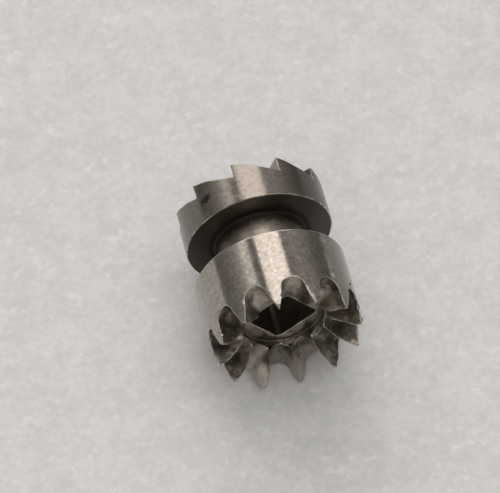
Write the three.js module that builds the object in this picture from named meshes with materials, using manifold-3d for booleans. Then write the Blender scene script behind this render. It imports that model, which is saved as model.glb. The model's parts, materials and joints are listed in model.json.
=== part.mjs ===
// Clutch wheel of a watch's winding and setting works: one turned, toothed piece of hardened steel.
// Millimetres. The bore for the winding stem runs along Y, with the origin at its mid-length.
// The crown teeth, which set the hands, face -Y. The ratchet teeth, which wind the spring, face +Y.
// The wheel lies on its side as it does loose on a bench, and +Z is up.
import * as THREE from "three";
import Module from "manifold-3d";
import { ConvexGeometry } from "three/addons/geometries/ConvexGeometry.js";
import { mergeVertices } from "three/addons/utils/BufferGeometryUtils.js";

// Turned blank.
const LENGTH = 2.95;
const COLLAR_RADIUS = 1.25;
const COLLAR_LENGTH = 0.76;
const GROOVE_WIDTH = 0.74;
const NECK_RADIUS = 0.76;
const NECK_FILLET = 0.06;
const BODY_RADIUS = 1.28;
const CROWN_TIP_RADIUS = 1.24;
const CROWN_TAPER_LENGTH = 0.3;
const EDGE_BREAK = 0.02;

// Crown teeth, cut by straight slots that run out from the bore.
const CROWN_TEETH = 12;
const CROWN_DEPTH = 0.5;
const CROWN_FIRST_ANGLE = 9.4;
const SLOT_ROOT_RADIUS = 0.195;
const SLOT_FLANK_LEAN = 10;
const SLOT_MOUTH_WIDTH = 0.6;
const CROWN_RECESS_RADIUS = 0.7;
const CROWN_RECESS_DEPTH = 0.59;

// Ratchet teeth, each with one upright face and one long slope.
const RATCHET_TEETH = 10;
const RATCHET_DEPTH = 0.25;
const RATCHET_FIRST_ANGLE = 32.7;
const RATCHET_LAND_ANGLE = 1.5;
const RATCHET_RECESS_RADIUS = 0.64;
const RATCHET_RECESS_DEPTH = 0.28;

// Square bore that slides on the winding stem.
const BORE_ACROSS_FLATS = 0.85;
const BORE_CORNER_RADIUS = 0.09;
const BORE_ANGLE = 39;

// How finely round surfaces are divided, and how far a cutter stands out of what it cuts.
const TURNED_SEGMENTS = 96;
const ARC_SEGMENTS = 8;
const CLEARANCE = 0.3;

// Stations along Y that follow from the lengths above.
const RATCHET_TIP_Y = LENGTH / 2;
const COLLAR_FLANK_Y = RATCHET_TIP_Y - COLLAR_LENGTH;
const BODY_FLANK_Y = COLLAR_FLANK_Y - GROOVE_WIDTH;
const CROWN_TIP_Y = -LENGTH / 2;
const SLOT_ROOT_Y = CROWN_TIP_Y + CROWN_DEPTH;
const CROWN_RECESS_Y = CROWN_TIP_Y + CROWN_RECESS_DEPTH;
const RATCHET_RECESS_Y = RATCHET_TIP_Y - RATCHET_RECESS_DEPTH;

const { degToRad } = THREE.MathUtils;
const wasm = await Module();
wasm.setup();

// A closed geometry as a solid that can be cut.
function solid(geometry) {
  const bare = geometry.clone();
  bare.deleteAttribute("normal");
  bare.deleteAttribute("uv");
  const merged = mergeVertices(bare, 1e-5);
  return new wasm.Manifold(new wasm.Mesh({
    numProp: 3,
    vertProperties: new Float32Array(merged.attributes.position.array),
    triVerts: new Uint32Array(merged.index.array),
  }));
}

// The cut solid as a geometry again.
function geometryOf(cut) {
  const mesh = cut.getMesh();
  const geometry = new THREE.BufferGeometry();
  geometry.setAttribute("position", new THREE.BufferAttribute(mesh.vertProperties, 3));
  geometry.setIndex(new THREE.BufferAttribute(mesh.triVerts, 1));
  return geometry;
}

// A point at a radius and height on the wheel, at an angle turned from +X towards +Z.
function around(radius, angle, y) {
  const turn = degToRad(angle);
  return new THREE.Vector3(radius * Math.cos(turn), y, radius * Math.sin(turn));
}

// The turned blank with its shifting groove, broken edges and a recess in each end.
function blank() {
  const path = new THREE.Path();
  path.moveTo(0, CROWN_RECESS_Y);
  path.lineTo(CROWN_RECESS_RADIUS, CROWN_RECESS_Y);
  path.lineTo(CROWN_RECESS_RADIUS, CROWN_TIP_Y);
  path.lineTo(CROWN_TIP_RADIUS, CROWN_TIP_Y);
  path.lineTo(BODY_RADIUS, CROWN_TIP_Y + CROWN_TAPER_LENGTH);
  path.lineTo(BODY_RADIUS, BODY_FLANK_Y - EDGE_BREAK);
  path.lineTo(BODY_RADIUS - EDGE_BREAK, BODY_FLANK_Y);
  path.lineTo(NECK_RADIUS + NECK_FILLET, BODY_FLANK_Y);
  path.lineTo(NECK_RADIUS, BODY_FLANK_Y + NECK_FILLET);
  path.lineTo(NECK_RADIUS, COLLAR_FLANK_Y - NECK_FILLET);
  path.lineTo(NECK_RADIUS + NECK_FILLET, COLLAR_FLANK_Y);
  path.lineTo(COLLAR_RADIUS - EDGE_BREAK, COLLAR_FLANK_Y);
  path.lineTo(COLLAR_RADIUS, COLLAR_FLANK_Y + EDGE_BREAK);
  path.lineTo(COLLAR_RADIUS, RATCHET_TIP_Y);
  path.lineTo(RATCHET_RECESS_RADIUS, RATCHET_TIP_Y);
  path.lineTo(RATCHET_RECESS_RADIUS, RATCHET_RECESS_Y);
  path.lineTo(0, RATCHET_RECESS_Y);
  return new THREE.LatheGeometry(path.getPoints(), TURNED_SEGMENTS);
}

// One radial slot: a round root and bowed flanks that open out to the mouth.
function crownSlot(angle) {
  const mouth = SLOT_MOUTH_WIDTH / 2;
  const lean = degToRad(SLOT_FLANK_LEAN);
  const centreY = SLOT_ROOT_Y - SLOT_ROOT_RADIUS;
  const flank = new THREE.Vector2(Math.cos(lean), Math.sin(lean)).multiplyScalar(SLOT_ROOT_RADIUS);
  const startY = centreY + flank.y;
  const bow = (startY - CROWN_TIP_Y) * 0.6;
  const bowX = flank.x + bow * Math.tan(lean);
  const section = new THREE.Shape();
  section.moveTo(-mouth, CROWN_TIP_Y - CLEARANCE);
  section.lineTo(mouth, CROWN_TIP_Y - CLEARANCE);
  section.lineTo(mouth, CROWN_TIP_Y);
  section.quadraticCurveTo(bowX, startY - bow, flank.x, startY);
  section.absarc(0, centreY, SLOT_ROOT_RADIUS, lean, Math.PI - lean);
  section.quadraticCurveTo(-bowX, startY - bow, -mouth, CROWN_TIP_Y);
  const inner = CROWN_RECESS_RADIUS - CLEARANCE;
  const slot = new THREE.ExtrudeGeometry(section, {
    depth: BODY_RADIUS + CLEARANCE - inner,
    bevelEnabled: false,
    curveSegments: ARC_SEGMENTS,
  });
  slot.translate(0, 0, inner);
  slot.rotateY(degToRad(90 - angle));
  return slot;
}

// One ratchet gap: its floor falls from a tooth's tip to the foot of the next upright face.
function ratchetGap(angle) {
  const reach = COLLAR_RADIUS * 1.2;
  const drop = RATCHET_DEPTH * 1.2;
  const top = RATCHET_TIP_Y + CLEARANCE;
  const tipAngle = angle + 360 / RATCHET_TEETH - RATCHET_LAND_ANGLE;
  return new ConvexGeometry([
    around(0, 0, RATCHET_TIP_Y),
    around(0, 0, top),
    around(reach, angle, RATCHET_TIP_Y - drop),
    around(reach, angle, top),
    around(reach, tipAngle, RATCHET_TIP_Y),
    around(reach, tipAngle, top),
  ]);
}

// The square hole for the stem, with its broached corners rounded.
function bore() {
  const half = BORE_ACROSS_FLATS / 2;
  const centre = half - BORE_CORNER_RADIUS;
  const section = new THREE.Shape();
  for (let corner = 0; corner < 4; corner += 1) {
    const turn = corner * Math.PI / 2;
    const middle = turn + Math.PI / 4;
    const x = centre * Math.SQRT2 * Math.cos(middle);
    const y = centre * Math.SQRT2 * Math.sin(middle);
    section.absarc(x, y, BORE_CORNER_RADIUS, turn, turn + Math.PI / 2);
  }
  const hole = new THREE.ExtrudeGeometry(section, {
    depth: LENGTH,
    bevelEnabled: false,
    curveSegments: ARC_SEGMENTS / 2,
  });
  hole.translate(0, 0, -LENGTH / 2);
  hole.rotateX(Math.PI / 2);
  hole.rotateY(degToRad(-BORE_ANGLE));
  return hole;
}

// The whole wheel: the blank, less the bore, the crown's slots and the ratchet's gaps.
function clutchWheelGeometry() {
  let wheel = solid(blank()).subtract(solid(bore()));
  for (let slot = 0; slot < CROWN_TEETH; slot += 1) {
    const angle = CROWN_FIRST_ANGLE + (slot + 0.5) * 360 / CROWN_TEETH;
    wheel = wheel.subtract(solid(crownSlot(angle)));
  }
  for (let gap = 0; gap < RATCHET_TEETH; gap += 1) {
    const angle = RATCHET_FIRST_ANGLE + gap * 360 / RATCHET_TEETH;
    wheel = wheel.subtract(solid(ratchetGap(angle)));
  }
  return geometryOf(wheel);
}

const steel = new THREE.MeshStandardMaterial({ color: 0x8a847c, roughness: 0.35, metalness: 1 });
const clutchWheel = new THREE.Mesh(clutchWheelGeometry(), steel);
clutchWheel.name = "clutch_wheel";

const assembly = new THREE.Group();
assembly.add(clutchWheel);

export default assembly;
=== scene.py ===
import json
import math
import bpy
import numpy as np
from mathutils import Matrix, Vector


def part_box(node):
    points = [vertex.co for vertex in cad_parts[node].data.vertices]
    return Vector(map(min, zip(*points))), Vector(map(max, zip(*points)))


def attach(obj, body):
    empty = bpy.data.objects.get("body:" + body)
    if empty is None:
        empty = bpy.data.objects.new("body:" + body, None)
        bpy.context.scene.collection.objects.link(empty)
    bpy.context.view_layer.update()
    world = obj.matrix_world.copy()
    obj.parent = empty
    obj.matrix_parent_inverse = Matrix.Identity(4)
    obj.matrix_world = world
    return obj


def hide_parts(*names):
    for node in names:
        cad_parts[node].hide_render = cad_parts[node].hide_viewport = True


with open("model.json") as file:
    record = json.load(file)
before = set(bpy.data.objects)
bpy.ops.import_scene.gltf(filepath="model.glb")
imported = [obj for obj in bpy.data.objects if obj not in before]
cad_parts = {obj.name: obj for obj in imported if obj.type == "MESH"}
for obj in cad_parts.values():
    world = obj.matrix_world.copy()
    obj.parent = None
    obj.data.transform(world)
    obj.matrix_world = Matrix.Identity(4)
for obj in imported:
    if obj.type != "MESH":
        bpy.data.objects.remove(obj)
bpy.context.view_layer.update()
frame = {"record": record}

# A watch's clutch wheel, lying on its side on a pale bench: one piece of turned and milled steel.
# The wheel's skin is the zero level of a distance formula in millimetres, built from the same lathe
# section, slots, ratchet gaps and square bore as the CAD solid, with every edge rounded by wear.

MM = 0.001
NODE = "clutch_wheel"
box_low, box_high = (np.array(corner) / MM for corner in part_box(NODE))
mount_y = {mount["name"]: mount["pos_m"][1] / MM for mount in frame["record"]["mounts"]}

# Turned sizes, in millimetres.
RATCHET_TIP_Y = box_high[1]
CROWN_TIP_Y = box_low[1]
BODY_RADIUS = box_high[0]
CROWN_RECESS_Y = mount_y["crown_recess_floor"]
RATCHET_RECESS_Y = mount_y["ratchet_recess_floor"]
COLLAR_RADIUS = 1.25
COLLAR_FLANK_Y = RATCHET_TIP_Y - 0.76
BODY_FLANK_Y = COLLAR_FLANK_Y - 0.74
NECK_RADIUS = 0.76
CROWN_TIP_RADIUS = 1.24
CROWN_TAPER_LENGTH = 0.3
CROWN_RECESS_RADIUS = 0.7
RATCHET_RECESS_RADIUS = 0.64

# Teeth and bore, in millimetres and degrees.
CROWN_TEETH = 12
CROWN_FIRST_ANGLE = 9.4
CROWN_DEPTH = 0.5
SLOT_ROOT_RADIUS = 0.195
SLOT_FLANK_LEAN = 10
SLOT_MOUTH_WIDTH = 0.6
SLOT_BOW_SHARE = 0.6
RATCHET_TEETH = 10
RATCHET_FIRST_ANGLE = 32.7
RATCHET_DEPTH = 0.25
RATCHET_LAND_ANGLE = 1.5
BORE_ACROSS_FLATS = 0.85
BORE_CORNER_RADIUS = 0.09
BORE_ANGLE = 39

# Edge roundings, in millimetres.
TURNED_EDGE = 0.02
NECK_FILLET = 0.06
RECESS_FILLET = 0.03
TOOTH_EDGE = 0.011
RATCHET_EDGE = 0.011
BORE_EDGE = 0.02

# Wear. A tooth's edge rounding grows by up to so many times its size where it is chipped, which is
# where the chip ripples run from CHIP_START to CHIP_FULL. Sizes and unevenness are in millimetres.
CROWN_CHIPS = 3.2
RATCHET_CHIPS = 1.6
CHIP_START = 0.4
CHIP_FULL = 1.6
CHIP_SIZE = 0.028
UNEVEN = 0.006
UNEVEN_SIZE = 0.06

# Burrs on the crown's outer edges: angle in degrees, Y, and how far each stands out and leans along Y.
# Each tapers from its foot's radius to its tip's, and its foot is sunk a little into the steel.
BURRS = (
    (24.4, -0.945, 0.055, 0.09),
    (13.4, -1.22, 0.035, 0.05),
    (8.2, -1.39, 0.04, 0.03),
    (156.6, -1.33, 0.03, 0.06),
    (166.4, -1.05, 0.045, 0.06),
    (186.6, -1.28, 0.04, 0.05),
    (338.6, -1.41, 0.03, -0.03),
    (64.4, -1.12, 0.02, 0.05),
)
BURR_FOOT = 0.034
BURR_TIP = 0.014
BURR_SINK = 0.01
BURR_INNER_RADIUS = 1.12
BURR_TOP_Y = CROWN_TIP_Y + CROWN_DEPTH + 0.2

# The lattice that the skin is found on, in millimetres: the steps between its stations, the radius it
# starts at, and how far out its first two steps reach. It starts and ends just clear of the wheel.
FINE = 0.0135
EDGE_FINE = 0.012
MEDIUM = 0.02
COARSE = 0.035
START_RADIUS = 0.4
FINE_REACH = 0.82
MEDIUM_REACH = 1.17
START_Y = CROWN_TIP_Y - 0.0301
END_Y = RATCHET_TIP_Y + 0.03
TURNS = 480
TRIANGLES = 190_000

# How the formula is worked out. An outline runs past the axis, or past a slot's middle, so that it has
# no edge there, and a slot's outline runs on below the crown's tips. Teeth are cut only where the blank
# is within a margin of their ring, and no slope is taken to be flatter than the least one.
PAST_MIDDLE = -0.2
SLOT_OVERCUT = 0.3
FLANK_STEPS = 24
ROOT_STEPS = 32
TOOTH_MARGIN = 0.1
LEAST_SLOPE = 0.1

rng = np.random.default_rng(12)


def arc(centre_x, centre_y, radius, start, end, steps):
    """Points along an arc, with its angles in degrees."""
    angles = np.radians(np.linspace(start, end, steps + 1))
    return [(centre_x + radius * math.cos(a), centre_y + radius * math.sin(a)) for a in angles]


def curve(start, control, end, steps):
    """Points along a quadratic curve."""
    t = np.linspace(0, 1, steps + 1)[:, None]
    points = (1 - t) ** 2 * np.array(start) + 2 * t * (1 - t) * np.array(control) + t * t * np.array(end)
    return [tuple(point) for point in points]


def rounded(corners, steps=8):
    """A closed outline of (x, y, rounding) corners, each rounded by an arc of that radius."""
    outline = []
    count = len(corners)
    for i in range(count):
        here = np.array(corners[i][:2])
        before = np.array(corners[i - 1][:2]) - here
        after = np.array(corners[(i + 1) % count][:2]) - here
        radius = corners[i][2]
        if radius == 0:
            outline.append(tuple(here))
            continue
        before /= np.linalg.norm(before)
        after /= np.linalg.norm(after)
        half = math.acos(np.clip(before @ after, -1, 1)) / 2
        middle = before + after
        centre = here + middle / np.linalg.norm(middle) * radius / math.sin(half)
        first = here + before * radius / math.tan(half) - centre
        last = here + after * radius / math.tan(half) - centre
        start = math.atan2(first[1], first[0])
        turn = (math.atan2(last[1], last[0]) - start + math.pi) % (2 * math.pi) - math.pi
        for step in range(steps + 1):
            angle = start + turn * step / steps
            outline.append(tuple(centre + radius * np.array([math.cos(angle), math.sin(angle)])))
    return outline


def outline_distance(x, y, outline):
    """Distance to a closed outline, negative inside it."""
    nearest = np.full(np.shape(x), np.inf)
    inside = np.zeros(np.shape(x), bool)
    for (ax, ay), (bx, by) in zip(outline, outline[1:] + outline[:1]):
        ex, ey = bx - ax, by - ay
        length = ex * ex + ey * ey
        if length < 1e-16:
            continue
        px, py = x - ax, y - ay
        along = np.clip((px * ex + py * ey) / length, 0, 1)
        nearest = np.minimum(nearest, (px - along * ex) ** 2 + (py - along * ey) ** 2)
        if ey:
            crosses = ((ay > y) != (by > y)) & (px < py * ex / ey)
            inside ^= crosses
    distance = np.sqrt(nearest)
    return np.where(inside, -distance, distance)


class Section:
    """Distance to a closed outline, worked out once on a fine grid and read between the grid's points.

    A point beyond the grid reads the nearest distance on the grid's rim.
    """

    SPACING = 0.004
    MARGIN = 0.1

    def __init__(self, outline):
        corners = np.array(outline)
        self.low = corners.min(axis=0) - self.MARGIN
        self.count = np.ceil((corners.max(axis=0) + self.MARGIN - self.low) / self.SPACING).astype(int)
        x, y = (self.low[axis] + self.SPACING * np.arange(self.count[axis]) for axis in (0, 1))
        self.grid = outline_distance(x[:, None] + 0 * y, y + 0 * x[:, None], outline)

    def __call__(self, x, y):
        u = np.clip((x - self.low[0]) / self.SPACING, 0, self.count[0] - 1.001)
        v = np.clip((y - self.low[1]) / self.SPACING, 0, self.count[1] - 1.001)
        i, j = u.astype(int), v.astype(int)
        u, v = u - i, v - j
        near = self.grid[i, j] * (1 - v) + self.grid[i, j + 1] * v
        far = self.grid[i + 1, j] * (1 - v) + self.grid[i + 1, j + 1] * v
        return near * (1 - u) + far * u


def lathe_outline():
    """Half of the wheel's section, as radius and Y, from the axis outwards and back."""
    taper_y = CROWN_TIP_Y + CROWN_TAPER_LENGTH
    return rounded([
        (PAST_MIDDLE, CROWN_RECESS_Y, 0),
        (CROWN_RECESS_RADIUS, CROWN_RECESS_Y, RECESS_FILLET),
        (CROWN_RECESS_RADIUS, CROWN_TIP_Y, 0),
        (CROWN_TIP_RADIUS, CROWN_TIP_Y, TOOTH_EDGE),
        (BODY_RADIUS, taper_y, 0),
        (BODY_RADIUS, BODY_FLANK_Y, TURNED_EDGE),
        (NECK_RADIUS, BODY_FLANK_Y, NECK_FILLET),
        (NECK_RADIUS, COLLAR_FLANK_Y, NECK_FILLET),
        (COLLAR_RADIUS, COLLAR_FLANK_Y, TURNED_EDGE),
        (COLLAR_RADIUS, RATCHET_TIP_Y, RATCHET_EDGE),
        (RATCHET_RECESS_RADIUS, RATCHET_TIP_Y, RATCHET_EDGE),
        (RATCHET_RECESS_RADIUS, RATCHET_RECESS_Y, RECESS_FILLET),
        (PAST_MIDDLE, RATCHET_RECESS_Y, 0),
    ])


def slot_outline():
    """Half of a crown slot's section: a round root and a bowed flank that opens out to the mouth."""
    mouth = SLOT_MOUTH_WIDTH / 2
    lean = math.radians(SLOT_FLANK_LEAN)
    centre_y = CROWN_TIP_Y + CROWN_DEPTH - SLOT_ROOT_RADIUS
    flank_x = SLOT_ROOT_RADIUS * math.cos(lean)
    flank_y = centre_y + SLOT_ROOT_RADIUS * math.sin(lean)
    bow = (flank_y - CROWN_TIP_Y) * SLOT_BOW_SHARE
    control = (flank_x + bow * math.tan(lean), flank_y - bow)
    flank = curve((mouth, CROWN_TIP_Y), control, (flank_x, flank_y), FLANK_STEPS)
    root = arc(0, centre_y, SLOT_ROOT_RADIUS, SLOT_FLANK_LEAN, 90, ROOT_STEPS)
    below = CROWN_TIP_Y - SLOT_OVERCUT
    top = root[-1][1]
    return [(PAST_MIDDLE, below), (mouth, below)] + flank[:-1] + root + [(PAST_MIDDLE, top)]


lathe_distance = Section(lathe_outline())
slot_distance = Section(slot_outline())


def ripples(x, y, z, pitch, waves):
    """Smooth noise, mostly within 1.5 of 0, as a sum of waves that run in fixed random directions."""
    total = 0
    for direction, phase in waves:
        total = total + np.sin((x * direction[0] + y * direction[1] + z * direction[2]) / pitch + phase)
    return total / math.sqrt(len(waves))


def wave_set(count):
    """Random directions and phases for ripples."""
    directions = rng.normal(size=(count, 3))
    directions /= np.linalg.norm(directions, axis=1)[:, None]
    phases = rng.uniform(0, 2 * math.pi, count)
    return list(zip(directions, phases))


CHIP_WAVES = wave_set(7)
UNEVEN_WAVES = wave_set(5)


def eased(value, low, high):
    """0 at low, 1 at high, and smooth between them."""
    share = np.clip((value - low) / (high - low), 0, 1)
    return share * share * (3 - 2 * share)


def carve(solid, cutter, edge):
    """The solid less the cutter, with the edge between them rounded."""
    a = solid + edge
    b = edge - cutter
    corner = np.hypot(np.maximum(a, 0), np.maximum(b, 0))
    return np.minimum(np.maximum(a, b), 0) + corner - edge


def folded(angle, first, count):
    """An angle measured from the middle of the nearest of several evenly spaced ones, in radians."""
    pitch = 2 * math.pi / count
    return (angle - math.radians(first) + pitch / 2) % pitch - pitch / 2


def crown_slots(radius, angle, y):
    """Distance to the nearest crown slot, negative inside it."""
    turn = folded(angle, CROWN_FIRST_ANGLE + 180 / CROWN_TEETH, CROWN_TEETH)
    return slot_distance(np.abs(radius * np.sin(turn)), y)


def ratchet_gaps(radius, angle, y):
    """Distance to the nearest ratchet gap, negative inside it: above its floor and past its steep face."""
    pitch = 2 * math.pi / RATCHET_TEETH
    rise = pitch - math.radians(RATCHET_LAND_ANGLE)
    slope = RATCHET_DEPTH / COLLAR_RADIUS
    across = slope / math.tan(rise)
    steepness = math.sqrt(1 + slope * slope + across * across)
    own = (angle - math.radians(RATCHET_FIRST_ANGLE)) % pitch
    gaps = []
    for turn in (own, own - pitch):
        ahead = radius * np.cos(turn)
        side = radius * np.sin(turn)
        floor = RATCHET_TIP_Y - slope * ahead + across * side
        gaps.append(np.maximum((floor - y) / steepness, -side))
    return np.minimum(*gaps)


def bore(x, z):
    """Distance to the square bore, negative inside it."""
    turn = math.radians(BORE_ANGLE)
    along = np.abs(x * math.cos(turn) + z * math.sin(turn))
    across = np.abs(z * math.cos(turn) - x * math.sin(turn))
    half = BORE_ACROSS_FLATS / 2 - BORE_CORNER_RADIUS
    a, b = along - half, across - half
    outside = np.hypot(np.maximum(a, 0), np.maximum(b, 0))
    return outside + np.minimum(np.maximum(a, b), 0) - BORE_CORNER_RADIUS


def toothed(skin, radius, angle, x, y, z):
    """The lathe's blank with a ring of teeth cut in each end, their edges chipped and faces uneven."""
    skin = skin.copy()
    crown = y < CROWN_TIP_Y + CROWN_DEPTH + TOOTH_MARGIN
    ratchet = y > RATCHET_TIP_Y - RATCHET_DEPTH - TOOTH_MARGIN
    for near, gaps, edge, chips in (
        (crown, crown_slots, TOOTH_EDGE, CROWN_CHIPS),
        (ratchet, ratchet_gaps, RATCHET_EDGE, RATCHET_CHIPS),
    ):
        place = [array[near] for array in (x, y, z)]
        chipped = eased(ripples(*place, CHIP_SIZE, CHIP_WAVES), CHIP_START, CHIP_FULL)
        uneven = UNEVEN * ripples(*place, UNEVEN_SIZE, UNEVEN_WAVES)
        gap = gaps(radius[near], angle[near], y[near]) + uneven
        skin[near] = carve(skin[near], gap, edge * (1 + chips * chipped))
    return skin


def burred(skin, radius, x, y, z):
    """The skin with its burrs added, each a short tapered sliver."""
    near = (radius > BURR_INNER_RADIUS) & (y < BURR_TOP_Y)
    points = np.stack([x[near], y[near], z[near]], axis=1)
    nearest = skin[near]
    for degrees, station, out, along in BURRS:
        outward = np.array([math.cos(math.radians(degrees)), 0, math.sin(math.radians(degrees))])
        foot = outward * (CROWN_TIP_RADIUS - BURR_SINK) + (0, station, 0)
        lean = outward * out + (0, along, 0)
        share = np.clip((points - foot) @ lean / (lean @ lean), 0, 1)
        gap = np.linalg.norm(points - foot - share[:, None] * lean, axis=1)
        nearest = np.minimum(nearest, gap - BURR_FOOT + (BURR_FOOT - BURR_TIP) * share)
    skin = skin.copy()
    skin[near] = nearest
    return skin


def wheel(x, y, z):
    """Distance to the wheel's skin, negative in the steel."""
    radius = np.hypot(x, z)
    skin = toothed(lathe_distance(radius, y), radius, np.arctan2(z, x), x, y, z)
    skin = burred(skin, radius, x, y, z)
    return carve(skin, bore(x, z), BORE_EDGE)


def slope_of(x, y, z, step=Section.SPACING):
    """The distance's gradient, which points out of the steel."""
    return np.stack([
        wheel(x + step, y, z) - wheel(x - step, y, z),
        wheel(x, y + step, z) - wheel(x, y - step, z),
        wheel(x, y, z + step) - wheel(x, y, z - step),
    ], axis=1) / (2 * step)


def settle(points, rounds):
    """Points moved onto the skin."""
    for _ in range(rounds):
        x, y, z = points.T
        slope = slope_of(x, y, z)
        size = np.maximum((slope * slope).sum(axis=1), LEAST_SLOPE)
        points = points - slope * (wheel(x, y, z) / size)[:, None]
    return points


def graded(stops, start):
    """Stations from start on, as far as each stop in steps of about its size."""
    stations = [np.array([start])]
    for stop, step in stops:
        count = max(1, round((stop - start) / step))
        stations.append(np.linspace(start, stop, count + 1)[1:])
        start = stop
    return np.concatenate(stations)


def lattice_axes():
    """Radii, Y stations and angles, closest together where the wheel has edges and teeth.

    Each stop is a little way past the edges that its step is for.
    """
    radii = graded([
        (FINE_REACH, FINE),
        (MEDIUM_REACH, MEDIUM),
        (BODY_RADIUS + 0.09, EDGE_FINE),
    ], START_RADIUS)
    stations = graded([
        (CROWN_RECESS_Y + 0.05, FINE),
        (BODY_FLANK_Y - 0.05, COARSE),
        (BODY_FLANK_Y + 0.09, EDGE_FINE),
        (COLLAR_FLANK_Y - 0.09, COARSE),
        (COLLAR_FLANK_Y + 0.05, EDGE_FINE),
        (RATCHET_RECESS_Y - 0.04, COARSE),
        (END_Y, FINE),
    ], START_Y)
    angles = np.arange(TURNS) * 2 * math.pi / TURNS
    return radii, stations, angles


CELL_CORNERS = [(i, j, k) for i in (0, 1) for j in (0, 1) for k in (0, 1)]


def at_corner(array, corner):
    """A lattice array's value at one corner of every cell. The angles close on themselves."""
    i, j, k = corner
    turned = np.roll(array, -k, axis=2) if k else array
    return turned[i:i - 1 or None, j:j - 1 or None]


def crossing_middles(value, active):
    """Where the skin passes through each active cell: the mean of its edge crossings, in cell shares."""
    values = {corner: at_corner(value, corner)[active] for corner in CELL_CORNERS}
    total = np.zeros((np.count_nonzero(active), 3))
    crossings = np.zeros(len(total))
    for first in CELL_CORNERS:
        for axis in range(3):
            if first[axis]:
                continue
            second = tuple(1 if i == axis else first[i] for i in range(3))
            a, b = values[first], values[second]
            crossed = (a < 0) != (b < 0)
            share = np.where(crossed, a / np.where(crossed, a - b, 1), 0)
            place = np.array(first, float) + np.zeros((len(a), 3))
            place[:, axis] = share
            total += place * crossed[:, None]
            crossings += crossed
    return total / crossings[:, None]


def net_quads(inside, number):
    """A quad round each lattice edge that the skin crosses, through the points of the four cells there."""
    quads = []
    for axis in range(3):
        left, up = (axis + 1) % 3, (axis + 2) % 3
        if axis == 2:
            here = inside
            ahead = np.roll(inside, -1, axis=2)
        else:
            here = np.take(inside, range(inside.shape[axis] - 1), axis)
            ahead = np.take(inside, range(1, inside.shape[axis]), axis)
        index = list(np.nonzero(here != ahead))
        leaves = here[tuple(index)]
        ring = []
        for step_left, step_up in ((1, 1), (0, 1), (0, 0), (1, 0)):
            near = list(index)
            near[left] = near[left] - step_left
            near[up] = near[up] - step_up
            near[2] = near[2] % TURNS
            ring.append(number[tuple(near)])
        ring = np.stack(ring, axis=1)
        ring[~leaves] = ring[~leaves][:, ::-1]
        quads.append(ring)
    return np.concatenate(quads)


def part_way(stations, index, share):
    """Where each share of the way from one station to the next is."""
    return stations[index] + share * (stations[index + 1] - stations[index])


def surface_net():
    """Points and quads of the skin, with one point in each lattice cell that it crosses."""
    radii, stations, angles = lattice_axes()
    radius, y, angle = np.meshgrid(radii, stations, angles, indexing="ij")
    value = wheel(radius * np.cos(angle), y, radius * np.sin(angle))
    inside = value < 0
    filled = sum(at_corner(inside, corner).astype(np.int8) for corner in CELL_CORNERS)
    active = (filled > 0) & (filled < len(CELL_CORNERS))
    number = np.full(active.shape, -1)
    number[active] = np.arange(np.count_nonzero(active))

    cell = np.nonzero(active)
    place = crossing_middles(value, active)
    r = part_way(radii, cell[0], place[:, 0])
    y = part_way(stations, cell[1], place[:, 1])
    t = part_way(np.append(angles, 2 * math.pi), cell[2], place[:, 2])
    points = np.stack([r * np.cos(t), y, r * np.sin(t)], axis=1)
    return points, net_quads(inside, number)


def relaxed(points, quads, rounds):
    """Points evened out along the skin, so that the quads are of like size."""
    ends = np.concatenate([quads[:, [i, (i + 1) % 4]] for i in range(4)])
    reach = np.bincount(ends[:, 0], minlength=len(points))
    for _ in range(rounds):
        middle = np.stack([
            np.bincount(ends[:, 0], points[ends[:, 1], axis], len(points)) / reach for axis in range(3)
        ], axis=1)
        slope = slope_of(*points.T)
        slope /= np.maximum(np.linalg.norm(slope, axis=1), LEAST_SLOPE)[:, None]
        shift = middle - points
        shift -= slope * (shift * slope).sum(axis=1)[:, None]
        points = settle(points + 0.5 * shift, 1)
    return points


def mesh_from(name, points, faces):
    """A mesh of faces that all have the same number of corners."""
    mesh = bpy.data.meshes.new(name)
    mesh.vertices.add(len(points))
    mesh.vertices.foreach_set("co", (points * MM).ravel())
    mesh.loops.add(faces.size)
    mesh.loops.foreach_set("vertex_index", faces.ravel())
    mesh.polygons.add(len(faces))
    mesh.polygons.foreach_set("loop_start", np.arange(0, faces.size, faces.shape[1]))
    mesh.update(calc_edges=True)
    mesh.validate()
    return mesh


def points_of(mesh):
    """A mesh's points, in millimetres."""
    points = np.empty(len(mesh.vertices) * 3)
    mesh.vertices.foreach_get("co", points)
    return points.reshape(-1, 3) / MM


def build_wheel():
    """The wheel's mesh, thinned where it is flat, with its points and normals exactly on the skin."""
    points, quads = surface_net()
    points = settle(points, 3)
    points = relaxed(points, quads, 2)
    points = settle(points, 1)
    wheel_object = bpy.data.objects.new("wheel", mesh_from("wheel", points, quads))
    bpy.context.collection.objects.link(wheel_object)
    thin = wheel_object.modifiers.new("thin", "DECIMATE")
    thin.ratio = min(1, TRIANGLES / (2 * len(quads)))
    graph = bpy.context.evaluated_depsgraph_get()
    mesh = bpy.data.meshes.new_from_object(wheel_object.evaluated_get(graph))
    wheel_object.modifiers.clear()
    wheel_object.data = mesh
    points = settle(points_of(mesh), 2)
    mesh.vertices.foreach_set("co", (points * MM).ravel())
    mesh.polygons.foreach_set("use_smooth", np.ones(len(mesh.polygons), bool))
    normals = slope_of(*points.T)
    normals /= np.linalg.norm(normals, axis=1)[:, None]
    mesh.normals_split_custom_set_from_vertices(normals)
    mesh.update()
    return wheel_object


steel_wheel = build_wheel()
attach(steel_wheel, "root")
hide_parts(NODE)


# --- Surface marks that the steel's material reads, worked out from the same formula. ---

# The bend is measured over CURVE_STEP millimetres, in 1/mm. A mark is 1 at FULL_EDGE, at FULL_CORNER
# the other way, and at FULL_DEPTH millimetres below the lathe's blank.
CURVE_STEP = 0.012
FULL_EDGE = 45
FULL_CORNER = 12
FULL_DEPTH = 0.035


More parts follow.
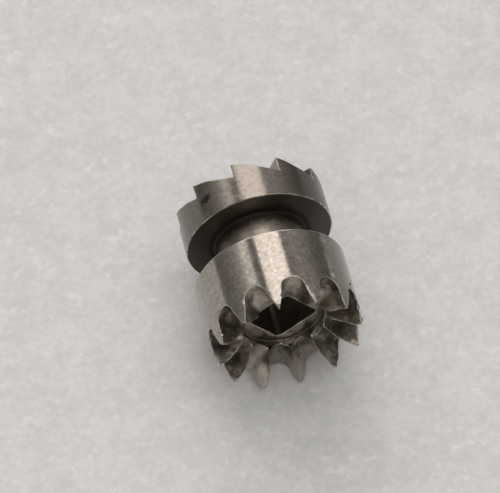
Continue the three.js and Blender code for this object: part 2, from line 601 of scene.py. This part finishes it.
def mark_surface(piece):
    """Per-point marks between 0 and 1: convex edges and inner corners, where the material paints glints
    and shade, and depth cut below the blank.
    """
    points = points_of(piece.data)
    x, y, z = points.T
    bend = -6 * wheel(x, y, z)
    for axis in np.eye(3) * CURVE_STEP:
        bend = bend + wheel(*(points + axis).T) + wheel(*(points - axis).T)
    bend /= CURVE_STEP ** 2
    grooved = (y > BODY_FLANK_Y - TURNED_EDGE) & (y < COLLAR_FLANK_Y + TURNED_EDGE)
    marks = {
        "edge": np.clip(bend / FULL_EDGE, 0, 1),
        "corner": np.where(grooved, 0, np.clip(-bend / FULL_CORNER, 0, 1)),
        "cut": np.clip(-lathe_distance(np.hypot(x, z), y) / FULL_DEPTH, 0, 1),
    }
    for name, values in marks.items():
        layer = piece.data.attributes.new(name, "FLOAT", "POINT")
        layer.data.foreach_set("value", values)


mark_surface(steel_wheel)


# --- Materials. ---

class Nodes:
    """A short way to add nodes to a material or world and link them."""

    def __init__(self, owner):
        owner.use_nodes = True
        self.tree = owner.node_tree
        self.tree.nodes.clear()

    def add(self, kind, inputs=None, **settings):
        """A new node with its settings, and its inputs set to a value or linked to a socket."""
        made = self.tree.nodes.new("ShaderNode" + kind)
        for key, value in settings.items():
            setattr(made, key, value)
        for key, value in (inputs or {}).items():
            if isinstance(value, bpy.types.NodeSocket):
                self.tree.links.new(value, made.inputs[key])
            else:
                made.inputs[key].default_value = value
        return made

    def math(self, operation, a, b=0.0, c=0.0, clamp=False):
        """The result of one sum on up to three values."""
        return self.add("Math", {0: a, 1: b, 2: c}, operation=operation, use_clamp=clamp).outputs[0]

    def times(self, *factors):
        """The factors' product."""
        product = factors[0]
        for factor in factors[1:]:
            product = self.math("MULTIPLY", product, factor)
        return product

    def between(self, value, low, high, to_low=0.0, to_high=1.0):
        """value, eased from one range to another."""
        made = self.add("MapRange", {
            "Value": value, "From Min": low, "From Max": high, "To Min": to_low, "To Max": to_high,
        }, interpolation_type="SMOOTHSTEP")
        return made.outputs["Result"]

    def noise(self, place, scale, detail=2.0, roughness=0.5):
        """Cloudy noise around 0.5, with its scale in cycles per unit of place."""
        made = self.add("TexNoise", {
            "Vector": place, "Scale": scale, "Detail": detail, "Roughness": roughness,
        })
        return made.outputs["Fac"]

    def mix(self, share, a, b):
        """Colour a, giving way to colour b as the share goes from 0 to 1."""
        return self.add("MixRGB", {"Fac": share, "Color1": a, "Color2": b}).outputs["Color"]

    def mark(self, name):
        """One of the marks that mark_surface stores on the mesh's points."""
        return self.add("Attribute", attribute_name=name).outputs["Fac"]

    def place(self):
        """The place on the object, in millimetres."""
        metres = self.add("TexCoord").outputs["Object"]
        return self.add("VectorMath", {0: metres, "Scale": 1 / MM}, operation="SCALE").outputs[0]

    def surface(self, **inputs):
        """End a material in one principled shader. Spaces in the inputs' names are written as _."""
        named = {name.replace("_", " "): value for name, value in inputs.items()}
        shader = self.add("BsdfPrincipled", named)
        self.add("OutputMaterial", {"Surface": shader.outputs[0]})


STEEL = (0.55, 0.51, 0.465, 1)
DULL_STEEL = (0.44, 0.40, 0.355, 1)
SPECKS = (0.15, 0.13, 0.11, 1)
COLLAR_STEEL = (0.365, 0.333, 0.30, 1)
NECK_STEEL = (0.48, 0.43, 0.365, 1)
CUT_STEEL = (0.56, 0.51, 0.435, 1)
# painted shade in the crown's recess and bore
RECESS_SHADE = (0.27, 0.242, 0.20, 1)
# painted shade on the wheel's sides
SIDE_SHADE = (0.10, 0.09, 0.077, 1)
OXIDE = (0.048, 0.033, 0.027, 1)
# painted shade in inner corners
CORNER_SHADE = (0.035, 0.029, 0.023, 1)
# painted shade in the groove
GROOVE_SHADE = (0.088, 0.08, 0.067, 1)
# painted glints and sparkle
GLINT_STEEL = (0.78, 0.75, 0.71, 1)
RUST_SPOT = (-0.83, 1.09, 0.93)
FINISH_DEPTH = 0.35e-6


def steel_noises(nodes, place):
    """Noises from coarse to fine, with their scales in cycles per millimetre."""
    return {
        "cloud": nodes.noise(place, 2.2, 3.0),
        "mottle": nodes.noise(place, 8.0, 4.0, 0.6),
        "speckle": nodes.noise(place, 14.0, 3.0, 0.65),
        "pits": nodes.noise(place, 30.0, 2.0, 0.5),
    }


def steel_zones(nodes, place, noise):
    """Where each zone of the wheel is, as shares between 0 and 1."""
    mottle = noise["mottle"]
    edge = nodes.between(nodes.mark("edge"), 0.5, 0.95)
    cut = nodes.mark("cut")
    x, y, z = nodes.add("SeparateXYZ", {0: place}).outputs
    radius = nodes.math("SQRT", nodes.math("ADD", nodes.times(x, x), nodes.times(z, z)))
    ragged = nodes.math("MULTIPLY_ADD", mottle, 0.3, -0.15)
    across = nodes.math("ADD", x, ragged)
    sideways = nodes.between(nodes.math("ABSOLUTE", x), 0.5, 1.0)

    past_groove = nodes.between(y, COLLAR_FLANK_Y + 0.008, COLLAR_FLANK_Y + 0.022)
    before_collar = nodes.math("SUBTRACT", 1.0, past_groove)
    in_groove = nodes.between(y, BODY_FLANK_Y - 0.006, BODY_FLANK_Y + 0.006)
    ragged_y = nodes.math("ADD", y, ragged)
    # painted shade: the neck and collar flank in the groove darkened where shade falls
    shaded_groove = nodes.between(ragged_y, COLLAR_FLANK_Y - 0.28, COLLAR_FLANK_Y - 0.08)
    near_flank = nodes.between(y, COLLAR_FLANK_Y - 0.12, COLLAR_FLANK_Y - 0.05)
    near_neck = nodes.between(radius, NECK_RADIUS + 0.16, NECK_RADIUS + 0.06)
    inside = nodes.between(radius, CROWN_RECESS_RADIUS + 0.06, CROWN_RECESS_RADIUS + 0.01)
    # painted shade: the collar darkened towards its sides, where its reflections are darker
    collar_sides = nodes.math("MAXIMUM", nodes.between(across, 0.6, 0.95, 0.0, 1.0),
                              nodes.between(across, -0.75, -1.0, 0.0, 0.5))
    spot_gap = nodes.add("VectorMath", {0: place, 1: RUST_SPOT}, operation="DISTANCE").outputs["Value"]
    brown = nodes.math("MULTIPLY_ADD", sideways, 0.27, noise["cloud"])
    # painted glints: random patches on edges and, towards the sides, specks on edges, lightened as if
    # catching the light
    glint_patches = nodes.between(mottle, 0.50, 0.62, 0.0, 0.8)
    side_glints = nodes.times(sideways, nodes.between(noise["speckle"], 0.50, 0.56))
    return {
        "cut": cut,
        "edge": edge,
        "collar": past_groove,
        "groove": nodes.times(in_groove, before_collar),
        "groove_shade": nodes.times(shaded_groove, before_collar),
        # painted shade: the inner corner between neck and collar flank darkened to hide its highlight ring
        "fillet_shade": nodes.times(near_flank, near_neck),
        # painted shade: the crown's recess floor, bore and slot ends darkened, as deep inside
        "recess": nodes.times(inside, nodes.between(y, 0.0, -0.1)),
        "ratchet_face": nodes.times(cut, past_groove),
        # painted shade: the body darkened near its left and right sides, where its reflections are darker
        "right_side_shade": nodes.times(nodes.between(across, 0.76, 0.90), nodes.between(across, 1.7, 0.95)),
        "left_side_shade": nodes.between(across, -0.85, -1.05),
        "collar_side_shade": nodes.times(collar_sides, past_groove),
        "spot": nodes.between(nodes.math("ADD", spot_gap, ragged), 0.13, 0.03),
        "stained": nodes.times(nodes.between(brown, 0.52, 0.66), cut,
                               nodes.between(mottle, 0.3, 0.55, 0.55, 1.0)),
        # painted shade: inner corners darkened where shade falls
        "corner_shade": nodes.times(nodes.mark("corner"), nodes.between(mottle, 0.3, 0.6, 0.5, 1.0)),
        "bright": nodes.times(edge, nodes.math("MAXIMUM", glint_patches, side_glints)),
    }


def steel_colour(nodes, zone, noise):
    """The steel's colour: each coat covers those before it by its zone's share times its weight."""
    colour = nodes.mix(nodes.between(noise["mottle"], 0.3, 0.7, 0.0, 0.5), STEEL, DULL_STEEL)
    for share, weight, tone in (
        # painted sparkle: random specks lightened
        (nodes.between(noise["speckle"], 0.45, 0.33), 0.5, GLINT_STEEL),
        (zone["collar"], 0.95, COLLAR_STEEL),
        # painted shade on the sides
        (zone["right_side_shade"], 0.7, SIDE_SHADE),
        (zone["left_side_shade"], 0.3, SIDE_SHADE),
        (zone["collar_side_shade"], 0.9, SIDE_SHADE),
        (zone["groove"], 0.85, NECK_STEEL),
        (zone["cut"], 0.85, CUT_STEEL),
        (zone["ratchet_face"], 0.8, COLLAR_STEEL),
        # painted shade in the crown's recess
        (zone["recess"], 0.85, RECESS_SHADE),
        (nodes.between(noise["speckle"], 0.46, 0.66), 0.32, SPECKS),
        (zone["stained"], 0.85, OXIDE),
        # painted shade in inner corners and at the neck's fillet
        (zone["corner_shade"], 0.75, CORNER_SHADE),
        # painted shade in the groove
        (zone["groove_shade"], 0.95, GROOVE_SHADE),
        (zone["fillet_shade"], 0.9, CORNER_SHADE),
        (zone["spot"], 0.8, OXIDE),
        # painted shade: edges darkened to dim their highlights
        (zone["edge"], 0.5, COLLAR_STEEL),
        # painted glints on edges
        (zone["bright"], 0.8, GLINT_STEEL),
    ):
        colour = nodes.mix(nodes.times(share, weight), colour, tone)
    return colour


def steel_roughness(nodes, zone, noise):
    """Polished on the body and rougher, by so much at most, in the other zones."""
    rough = nodes.between(noise["mottle"], 0.3, 0.7, 0.11, 0.17)
    for name, rise in (
        ("cut", 0.18),
        ("stained", 0.15),
        ("corner_shade", 0.2),
        ("groove_shade", 0.04),
        ("fillet_shade", 0.25),
        ("collar", 0.07),
        ("groove", 0.18),
        ("edge", 0.15),
    ):
        rough = nodes.math("ADD", rough, nodes.times(zone[name], rise), clamp=True)
    return rough


def steel_relief(nodes, place, zone, noise):
    """The finish's height as a share of its depth: turning rings where nothing is cut, pits and mottle."""
    x, y, z = nodes.add("SeparateXYZ", {0: place}).outputs
    radius = nodes.math("SQRT", nodes.math("ADD", nodes.times(x, x), nodes.times(z, z)))
    ring_place = nodes.add("CombineXYZ", {0: nodes.math("ADD", y, radius)}).outputs[0]
    rings = nodes.noise(ring_place, 45.0, 3.0, 0.7)
    turned = nodes.math("SUBTRACT", 1.0, zone["cut"], clamp=True)
    height = nodes.times(rings, turned, 0.5)
    height = nodes.math("ADD", height, nodes.times(nodes.between(noise["pits"], 0.3, 0.5), 0.6))
    return nodes.math("ADD", height, nodes.times(noise["mottle"], 1.2))


def steel_material():
    """Turned steel: a bright body, a duller collar and brown oxide in the tooth gaps, with painted shade
    in the groove, inner corners, recess and on the sides, and painted glints on edges.
    """
    material = bpy.data.materials.new("hardened_steel")
    nodes = Nodes(material)
    place = nodes.place()
    noise = steel_noises(nodes, place)
    zone = steel_zones(nodes, place, noise)
    relief = steel_relief(nodes, place, zone, noise)
    bump = nodes.add("Bump", {"Height": relief, "Strength": 1.0, "Distance": FINISH_DEPTH})
    nodes.surface(Base_Color=steel_colour(nodes, zone, noise), Metallic=1.0,
                  Roughness=steel_roughness(nodes, zone, noise), Normal=bump.outputs[0])
    return material


PALE_PAPER = (0.795, 0.796, 0.801, 1)
DULL_PAPER = (0.705, 0.706, 0.711, 1)
PAPER_FLECK = (0.92, 0.92, 0.925, 1)
WARM_PAPER = (0.78, 0.73, 0.72, 1)
FELT_DEPTH = 6e-5


def paper_material():
    """A plain pale bench top with a faint felted surface, small pale flecks and a slightly uneven tint."""
    material = bpy.data.materials.new("pale_bench")
    nodes = Nodes(material)
    place = nodes.place()
    felt = nodes.noise(place, 1.6, 4.0, 0.6)
    fibre = nodes.noise(place, 9.0, 2.0, 0.6)
    fleck = nodes.noise(place, 5.0, 4.0, 0.62)
    tint = nodes.noise(place, 3.1, 2.0, 0.5)
    tone = nodes.math("ADD", nodes.times(felt, 0.5), nodes.times(fibre, 0.5))
    colour = nodes.mix(nodes.between(tone, 0.36, 0.64), DULL_PAPER, PALE_PAPER)
    colour = nodes.mix(nodes.between(fleck, 0.53, 0.74, 0.0, 0.6), colour, PAPER_FLECK)
    colour = nodes.mix(nodes.between(tint, 0.42, 0.60, 0.0, 0.12), colour, WARM_PAPER)
    bump = nodes.add("Bump", {"Height": felt, "Strength": 0.5, "Distance": FELT_DEPTH})
    nodes.surface(Base_Color=colour, Roughness=0.9, Specular_IOR_Level=0.0, Normal=bump.outputs[0])
    return material


steel_wheel.data.materials.append(steel_material())


# --- The bench, the light and the camera. ---

BENCH_HALF = 0.5


def build_bench():
    """A flat square, level with the wheel's lowest point."""
    mesh = bpy.data.meshes.new("bench")
    level = box_low[2] * MM
    corners = [(x * BENCH_HALF, y * BENCH_HALF, level) for x, y in ((-1, -1), (1, -1), (1, 1), (-1, 1))]
    mesh.from_pydata(corners, [], [(0, 1, 2, 3)])
    mesh.materials.append(paper_material())
    bench_object = bpy.data.objects.new("bench", mesh)
    bpy.context.collection.objects.link(bench_object)
    return bench_object


bench = build_bench()

LIGHT_DISTANCE = 2.0


def soft_box(name, direction, width, height, radiance, colour):
    """A rectangular light facing the wheel, sized as a share of its distance. Its width runs level."""
    light = bpy.data.lights.new(name, "AREA")
    light.shape = "RECTANGLE"
    light.size = width * LIGHT_DISTANCE
    light.size_y = height * LIGHT_DISTANCE
    light.energy = radiance * math.pi * light.size * light.size_y
    light.color = colour
    lamp = bpy.data.objects.new(name, light)
    towards = Vector(direction).normalized()
    lamp.location = towards * LIGHT_DISTANCE
    lamp.rotation_euler = towards.to_track_quat("Z", "Y").to_euler()
    bpy.context.collection.objects.link(lamp)


WARM = (1.0, 0.94, 0.88)
NEUTRAL = (1.0, 0.995, 0.99)
soft_box("window", (0.022, 0.602, 0.799), 0.56, 1.13, 1.42, WARM)
soft_box("ceiling", (0.2, -0.21, 0.96), 1.7, 0.65, 1.16, NEUTRAL)
soft_box("far_wall", (0.0, 0.88, 0.47), 1.2, 0.6, 1.5, NEUTRAL)

# The room's brightness by angle round the Y axis, in degrees from straight up towards +X.
ROOM_TINT = (1, 0.957, 0.895)
ROOM_SEEN = (0.614, 0.601, 0.581, 1)
SKY_STOPS = (
    (-180, 0.30), (-95, 0.20), (-75, 0.17), (-60, 0.25), (-46, 0.45), (-41, 0.85), (-32, 0.80),
    (-27, 0.15), (-18, 0.10), (20, 0.14), (27, 0.2), (41, 0.31), (55, 0.25), (72, 0.14), (95, 0.12),
    (180, 0.30),
)


def room_light():
    """A dim room, brightest high on the left. The camera sees it in one colour, like the bench."""
    world = bpy.data.worlds.new("room")
    bpy.context.scene.world = world
    nodes = Nodes(world)
    direction = nodes.add("SeparateXYZ", {0: nodes.add("TexCoord").outputs["Generated"]})
    around = nodes.math("ARCTAN2", direction.outputs[0], direction.outputs[2])
    share = nodes.math("MULTIPLY_ADD", around, 1 / (2 * math.pi), 0.5)
    ramp = nodes.add("ValToRGB", {"Fac": share})
    stops = ramp.color_ramp.elements
    stops.remove(stops[-1])
    for angle, level in SKY_STOPS:
        stop = stops[0] if angle == -180 else stops.new((angle + 180) / 360)
        stop.color = [level * part for part in ROOM_TINT] + [1]
    seen = nodes.add("LightPath").outputs["Is Camera Ray"]
    shown = nodes.mix(seen, ramp.outputs["Color"], ROOM_SEEN)
    background = nodes.add("Background", {"Color": shown, "Strength": 1.0})
    nodes.add("OutputWorld", {"Surface": background.outputs[0]})


room_light()

CAMERA_AZIMUTH = -13.5
CAMERA_ELEVATION = 56.0
CAMERA_DISTANCE = 0.11
CAMERA_LENS = 473.7
CAMERA_AIM = Vector((-0.18, 0.645, -0.073)) * MM
CLIP_START = 0.001
CLIP_END = 2.0


def place_camera():
    """A long lens above the crown end, a little to the left."""
    azimuth = math.radians(CAMERA_AZIMUTH)
    elevation = math.radians(CAMERA_ELEVATION)
    back = Vector((
        math.sin(azimuth) * math.cos(elevation),
        -math.cos(azimuth) * math.cos(elevation),
        math.sin(elevation),
    ))
    data = bpy.data.cameras.new("camera")
    data.lens = CAMERA_LENS
    data.clip_start = CLIP_START
    data.clip_end = CLIP_END
    camera = bpy.data.objects.new("camera", data)
    camera.location = CAMERA_AIM + back * CAMERA_DISTANCE
    camera.rotation_euler = back.to_track_quat("Z", "Y").to_euler()
    bpy.context.collection.objects.link(camera)
    bpy.context.scene.camera = camera


place_camera()
bpy.context.scene.view_settings.view_transform = "Standard"
